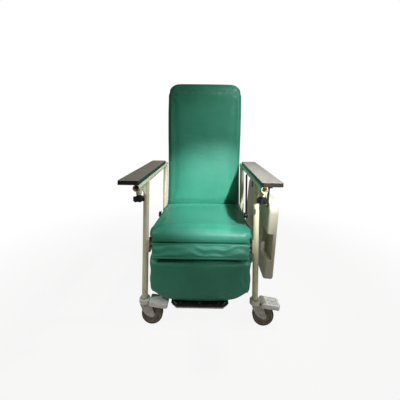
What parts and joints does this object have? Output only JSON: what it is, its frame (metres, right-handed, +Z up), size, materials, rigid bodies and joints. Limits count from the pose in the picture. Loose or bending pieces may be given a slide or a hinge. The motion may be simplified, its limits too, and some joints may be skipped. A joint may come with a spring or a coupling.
{
  "type": "high back recliner chair",
  "caption": "High back recliner chair on casters: tube frame, padded vinyl seat, back and legrest that recline together, folding footplate, flat armrests and a hanging side tray.",
  "frame": {"origin": "middle of the bounding box on the floor", "axes": "+X to the right as seen from the front, +Y to the rear, +Z up"},
  "size_m": [0.7174, 0.8152, 1.2412],
  "materials": {
    "cream_paint": "gloss powder coat",
    "black_paint": "satin black paint",
    "green_vinyl": "smooth upholstery vinyl, light sheen",
    "laminate": "grey brown laminate, satin",
    "plywood": "bare plywood",
    "bright_steel": "zinc plated",
    "black_plastic": "moulded black",
    "tray_plastic": "moulded cream, light gloss",
    "mat_rubber": "black ribbed rubber",
    "caster_grey": "moulded grey",
    "pedal_grey": "light grey, satin",
    "tyre_grey": "dark grey rubber"
  },
  "bodies": {
    "frame": {"arm_gussets": "cream_paint", "armrest_cleats": "cream_paint", "armrest_screws": "bright_steel", "caster_stems": "bright_steel", "clamp_nuts": "cream_paint", "left_arm_tube": "cream_paint", "left_armrest_board": "laminate", "left_front_leg": "cream_paint", "left_rear_leg": "cream_paint", "lever_pivots": "black_paint", "pivot_pins": "bright_steel", "rear_cross_tube": "cream_paint", "right_arm_tube": "cream_paint", "right_armrest_board": "laminate", "right_front_leg": "cream_paint", "right_rear_leg": "cream_paint", "seat_board": "plywood", "seat_bolts": "bright_steel", "seat_brackets": "cream_paint", "seat_cross_bars": "cream_paint", "seat_cushion": "green_vinyl", "seat_rails": "cream_paint", "tray_hinge_brackets": "black_paint", "tube_plugs": "black_plastic"},
    "back": {"back_uprights": "cream_paint", "back_cross_tubes": "cream_paint", "back_board": "plywood", "back_cushion": "green_vinyl", "back_rear_cover": "green_vinyl"},
    "legrest": {"legrest_arms": "cream_paint", "legrest_boards": "plywood", "legrest_bottom_bar": "black_paint", "knee_pad": "green_vinyl", "calf_pad": "green_vinyl"},
    "footrest": {"footplate": "cream_paint", "footplate_mat": "mat_rubber", "footplate_screws": "bright_steel"},
    "links": {"link_rods": "black_paint"},
    "lever": {"recline_lever": "black_paint"},
    "left_knob": {"left_clamp_knob": "black_plastic"},
    "right_knob": {"right_clamp_knob": "black_plastic"},
    "tray": {"tray_panel": "tray_plastic", "tray_straps": "black_paint", "tray_screws": "bright_steel"},
    "front_left_caster": {"front_left_caster_fork": "caster_grey"},
    "front_left_wheel": {"front_left_caster_wheel": "caster_grey", "front_left_caster_tyre": "tyre_grey"},
    "front_left_pedal": {"front_left_brake_pedal": "pedal_grey"},
    "front_right_caster": {"front_right_caster_fork": "caster_grey"},
    "front_right_wheel": {"front_right_caster_wheel": "caster_grey", "front_right_caster_tyre": "tyre_grey"},
    "front_right_pedal": {"front_right_brake_pedal": "pedal_grey"},
    "rear_left_caster": {"rear_left_caster_fork": "caster_grey"},
    "rear_left_wheel": {"rear_left_caster_wheel": "caster_grey", "rear_left_caster_tyre": "tyre_grey"},
    "rear_right_caster": {"rear_right_caster_fork": "caster_grey"},
    "rear_right_wheel": {"rear_right_caster_wheel": "caster_grey", "rear_right_caster_tyre": "tyre_grey"}
  },
  "joints": [
    {"name": "back_recline", "type": "hinge", "parent": "frame", "child": "back", "pos_m": [-0.01766, 0.31187, 0.392], "axis": [-1, 0, 0], "range_deg": [0, 45]},
    {"name": "legrest_raise", "type": "hinge", "parent": "frame", "child": "legrest", "pos_m": [-0.01766, -0.19263, 0.342], "axis": [-1, 0, 0], "range_deg": [0, 72]},
    {"name": "link_swing", "type": "hinge", "parent": "back", "child": "links", "pos_m": [-0.01766, 0.34249, 0.31809], "axis": [-1, 0, 0], "range_deg": [-45, 0]},
    {"name": "footplate_fold", "type": "hinge", "parent": "legrest", "child": "footrest", "pos_m": [-0.01766, -0.17563, 0.133], "axis": [1, 0, 0], "range_deg": [0, 80]},
    {"name": "lever_pull", "type": "hinge", "parent": "frame", "child": "lever", "pos_m": [0.24634, 0.04737, 0.42], "axis": [-1, 0, 0], "range_deg": [0, 25], "stiffness_Nm_per_rad": 4, "springref_deg": -17.19},
    {"name": "left_knob_turn", "type": "hinge", "parent": "frame", "child": "left_knob", "pos_m": [-0.28166, -0.35763, 0.67], "axis": [0, 0, 1], "continuous": true},
    {"name": "right_knob_turn", "type": "hinge", "parent": "frame", "child": "right_knob", "pos_m": [0.24634, -0.35763, 0.67], "axis": [0, 0, 1], "continuous": true},
    {"name": "tray_swing", "type": "hinge", "parent": "frame", "child": "tray", "pos_m": [0.31434, -0.23263, 0.6601], "axis": [0, -1, 0], "range_deg": [-1.5, 45]},
    {"name": "front_left_swivel", "type": "hinge", "parent": "frame", "child": "front_left_caster", "pos_m": [-0.28166, -0.23263, 0.05], "axis": [0, 0, 1], "continuous": true},
    {"name": "front_left_roll", "type": "hinge", "parent": "front_left_caster", "child": "front_left_wheel", "pos_m": [-0.24366, -0.23263, 0.05], "axis": [0, 1, 0], "continuous": true},
    {"name": "front_left_brake", "type": "hinge", "parent": "front_left_caster", "child": "front_left_pedal", "pos_m": [-0.25066, -0.23263, 0.1075], "axis": [0, 1, 0], "range_deg": [0, 6]},
    {"name": "front_right_swivel", "type": "hinge", "parent": "frame", "child": "front_right_caster", "pos_m": [0.24634, -0.23263, 0.05], "axis": [0, 0, 1], "continuous": true},
    {"name": "front_right_roll", "type": "hinge", "parent": "front_right_caster", "child": "front_right_wheel", "pos_m": [0.28434, -0.23263, 0.05], "axis": [0, 1, 0], "continuous": true},
    {"name": "front_right_brake", "type": "hinge", "parent": "front_right_caster", "child": "front_right_pedal", "pos_m": [0.27734, -0.23263, 0.1075], "axis": [0, 1, 0], "range_deg": [0, 6]},
    {"name": "rear_left_swivel", "type": "hinge", "parent": "frame", "child": "rear_left_caster", "pos_m": [-0.28166, 0.27987, 0.05], "axis": [0, 0, 1], "continuous": true},
    {"name": "rear_left_roll", "type": "hinge", "parent": "rear_left_caster", "child": "rear_left_wheel", "pos_m": [-0.24366, 0.27987, 0.05], "axis": [0, 1, 0], "continuous": true},
    {"name": "rear_right_swivel", "type": "hinge", "parent": "frame", "child": "rear_right_caster", "pos_m": [0.24634, 0.27987, 0.05], "axis": [0, 0, 1], "continuous": true},
    {"name": "rear_right_roll", "type": "hinge", "parent": "rear_right_caster", "child": "rear_right_wheel", "pos_m": [0.28434, 0.27987, 0.05], "axis": [0, 1, 0], "continuous": true}
  ],
  "couplings": [
    {"joint": "legrest_raise", "follows": "back_recline", "ratio": 1.6},
    {"joint": "link_swing", "follows": "back_recline", "ratio": -1}
  ]
}
